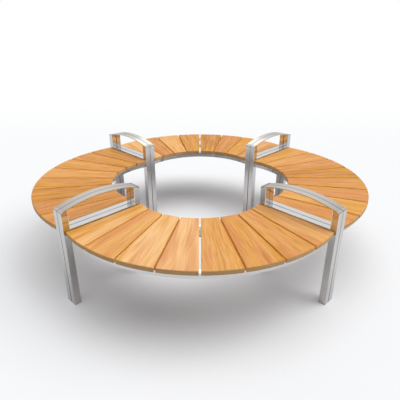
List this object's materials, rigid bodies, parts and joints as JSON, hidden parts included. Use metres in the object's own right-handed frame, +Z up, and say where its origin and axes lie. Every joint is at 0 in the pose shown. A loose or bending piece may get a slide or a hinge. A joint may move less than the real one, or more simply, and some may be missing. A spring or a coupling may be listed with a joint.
{
  "type": "tree bench",
  "caption": "Ring-shaped backless bench to stand about a tree, with tapered hardwood slats on polished stainless frames and arched armrests between its quarters.",
  "frame": {"origin": "middle of the ring, on the floor under the feet", "axes": "+Z up, -Y is the front quarter, the armrests stand on the diagonals"},
  "size_m": [2.106, 2.106, 0.59],
  "materials": {
    "hardwood": "satin oiled",
    "stainless": "mirror polished",
    "bolt_steel": "plain",
    "grey_plastic": "matt"
  },
  "bodies": {
    "root": {"right_slat_1": "hardwood", "right_slat_2": "hardwood", "right_slat_3": "hardwood", "right_slat_4": "hardwood", "right_slat_5": "hardwood", "right_slat_6": "hardwood", "right_slat_7": "hardwood", "right_slat_8": "hardwood", "right_hoop_right": "stainless", "right_hoop_left": "stainless", "right_outer_rail": "stainless", "right_inner_rail": "stainless", "right_bearers": "stainless", "back_slat_1": "hardwood", "back_slat_2": "hardwood", "back_slat_3": "hardwood", "back_slat_4": "hardwood", "back_slat_5": "hardwood", "back_slat_6": "hardwood", "back_slat_7": "hardwood", "back_slat_8": "hardwood", "back_hoop_right": "stainless", "back_hoop_left": "stainless", "back_outer_rail": "stainless", "back_inner_rail": "stainless", "back_bearers": "stainless", "left_slat_1": "hardwood", "left_slat_2": "hardwood", "left_slat_3": "hardwood", "left_slat_4": "hardwood", "left_slat_5": "hardwood", "left_slat_6": "hardwood", "left_slat_7": "hardwood", "left_slat_8": "hardwood", "left_hoop_right": "stainless", "left_hoop_left": "stainless", "left_outer_rail": "stainless", "left_inner_rail": "stainless", "left_bearers": "stainless", "front_slat_1": "hardwood", "front_slat_2": "hardwood", "front_slat_3": "hardwood", "front_slat_4": "hardwood", "front_slat_5": "hardwood", "front_slat_6": "hardwood", "front_slat_7": "hardwood", "front_slat_8": "hardwood", "front_hoop_right": "stainless", "front_hoop_left": "stainless", "front_outer_rail": "stainless", "front_inner_rail": "stainless", "front_bearers": "stainless", "slat_spacers": "grey_plastic", "link_plates": "stainless", "link_bolts": "bolt_steel", "back_right_feet": "grey_plastic", "back_left_feet": "grey_plastic", "front_left_feet": "grey_plastic", "front_right_feet": "grey_plastic"}
  },
  "joints": []
}
